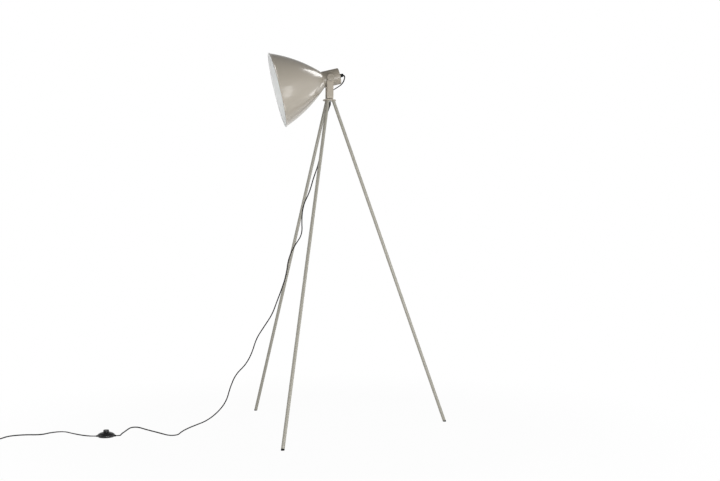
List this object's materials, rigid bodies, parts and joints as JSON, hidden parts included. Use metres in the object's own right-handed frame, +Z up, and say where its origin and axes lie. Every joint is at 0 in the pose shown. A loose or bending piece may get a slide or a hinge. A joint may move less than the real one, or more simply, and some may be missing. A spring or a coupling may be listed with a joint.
{
  "type": "tripod spotlight floor lamp",
  "caption": "Floor lamp with a bell-shaped spot shade in a swivelling, tilting yoke on straight tripod legs, with a free flex, foot switch and mains plug.",
  "frame": {"origin": "on the floor, below the swivel axis at the middle of the three feet", "axes": "+Z up along the swivel axis; the shade points to -X at rest; +Y is along the tilt axis, away from the viewer"},
  "size_m": [1.8098, 0.845, 1.4718],
  "materials": {
    "painted_plate": "satin powder coat",
    "painted_leg": "satin powder coat",
    "painted_head": "satin powder coat",
    "gloss_shade": "glossy outside, white inside",
    "zinc_steel": "zinc plated",
    "steel_boss": "turned",
    "black_plastic": "fine texture",
    "black_rubber": "matt",
    "friction_plastic": "moulded",
    "holder_plastic": "moulded",
    "brass_part": "nickel plated",
    "bulb_glass": "opal",
    "bulb_cap": "pressed"
  },
  "bodies": {
    "stand": {"top_plate": "painted_plate", "swivel_nipple": "zinc_steel", "swivel_nuts": "zinc_steel", "swivel_washers": "zinc_steel", "switch_screws": "zinc_steel", "switch_spring": "zinc_steel", "leg_stud_1": "zinc_steel", "leg_stud_2": "zinc_steel", "leg_stud_3": "zinc_steel", "leg_insert_1": "zinc_steel", "leg_insert_2": "zinc_steel", "leg_insert_3": "zinc_steel", "bottom_cord_grip": "black_plastic", "switch_base": "black_plastic", "switch_cover": "black_plastic", "plug_body": "black_plastic", "foot_plug_1": "black_plastic", "foot_plug_2": "black_plastic", "foot_plug_3": "black_plastic", "switch_grommets": "black_rubber", "flex_in_nipple": "black_rubber", "flex_to_switch": "black_rubber", "flex_to_coil": "black_rubber", "flex_tail": "black_rubber", "flex_coil": "black_rubber", "leg_tube_1": "painted_leg", "leg_tube_2": "painted_leg", "leg_tube_3": "painted_leg", "switch_mechanism": "holder_plastic", "plug_pins": "brass_part"},
    "yoke": {"yoke": "painted_head", "friction_washers": "friction_plastic", "flex_head_loop": "black_rubber"},
    "head": {"housing": "painted_head", "pivot_bosses": "steel_boss", "shade": "gloss_shade", "lampholder_body": "holder_plastic", "lampholder_ring": "holder_plastic", "lampholder_shell": "brass_part", "lampholder_contact": "brass_part", "back_nipple": "zinc_steel", "back_nut": "zinc_steel", "rear_cord_grip": "black_plastic", "bulb_glass": "bulb_glass", "bulb_cap": "bulb_cap", "tilt_stud_near": "zinc_steel", "tilt_stud_far": "zinc_steel"},
    "knob_near": {"tilt_knob_near": "painted_head"},
    "knob_far": {"tilt_knob_far": "painted_head"},
    "switch_button": {"switch_button": "black_plastic"}
  },
  "joints": [
    {"name": "head_swivel", "type": "hinge", "parent": "stand", "child": "yoke", "pos_m": [0, 0, 1.2965], "axis": [0, 0, 1], "range_deg": [-170, 170]},
    {"name": "head_tilt", "type": "hinge", "parent": "yoke", "child": "head", "pos_m": [0, 0, 1.376], "axis": [0, 1, 0], "range_deg": [-14, 100], "deforming": ["flex_head_loop"]},
    {"name": "knob_near_turn", "type": "hinge", "parent": "head", "child": "knob_near", "pos_m": [0, -0.045, 1.376], "axis": [0, -1, 0], "range_deg": [0, 180]},
    {"name": "knob_far_turn", "type": "hinge", "parent": "head", "child": "knob_far", "pos_m": [0, 0.045, 1.376], "axis": [0, 1, 0], "range_deg": [0, 180]},
    {"name": "switch_press", "type": "slide", "parent": "stand", "child": "switch_button", "axis": [0, 0, -1], "range_m": [0, 0.003], "stiffness_N_per_m": 600, "deforming": ["switch_spring"]}
  ]
}
